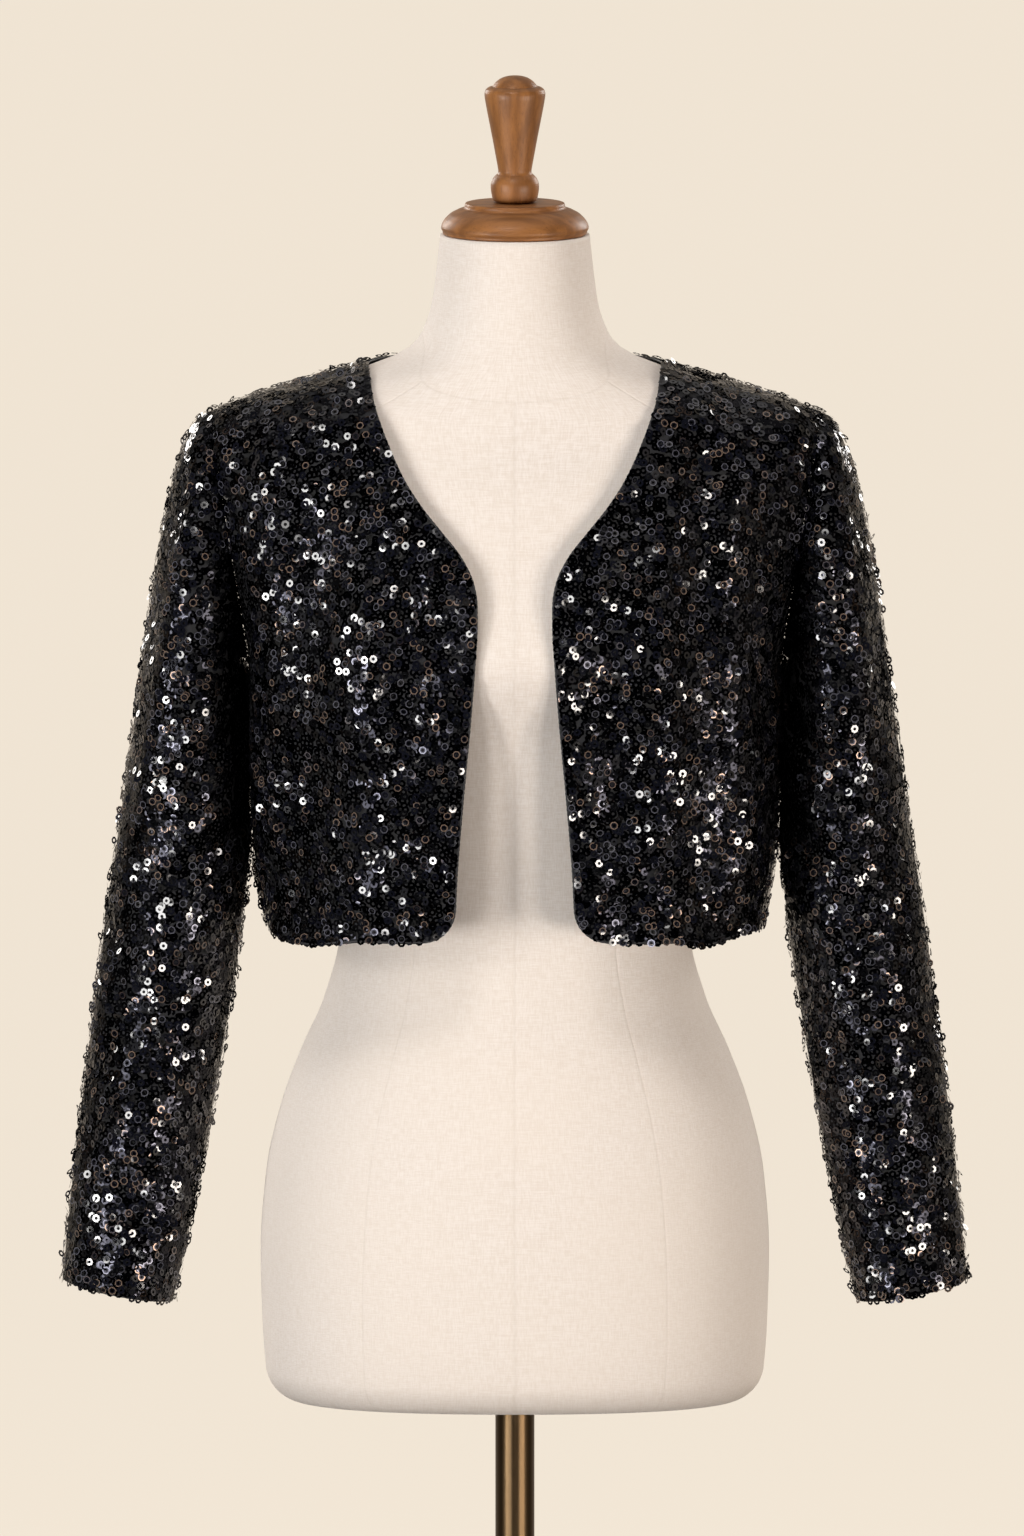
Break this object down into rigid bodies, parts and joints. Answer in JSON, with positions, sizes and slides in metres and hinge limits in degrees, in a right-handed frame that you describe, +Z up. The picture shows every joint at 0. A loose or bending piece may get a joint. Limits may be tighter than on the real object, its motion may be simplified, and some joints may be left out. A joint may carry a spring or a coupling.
{
  "type": "sequin bolero on a dress form",
  "caption": "Cropped open-front sequin bolero with long sleeves on a limbless linen dress form with a turned wooden neck cap, metal pole and round base.",
  "frame": {"origin": "centre of the flat underside of the round base, on the floor", "axes": "+Z up along the pole, -Y towards the front of the bolero, +X to the wearer's left"},
  "size_m": [0.625, 0.36, 1.629],
  "materials": {
    "sequin_cloth": "black ring sequins, glossy, on a dark net ground",
    "linen": "natural linen weave, matte",
    "walnut": "turned, satin varnish",
    "bronze": "satin dark bronze"
  },
  "bodies": {
    "root": {"front_left": "sequin_cloth", "front_right": "sequin_cloth", "back": "sequin_cloth", "sleeve_left": "sequin_cloth", "sleeve_right": "sequin_cloth", "form_body": "linen", "neck_cap": "walnut", "handle": "walnut", "pole": "bronze", "base": "bronze"}
  },
  "joints": []
}
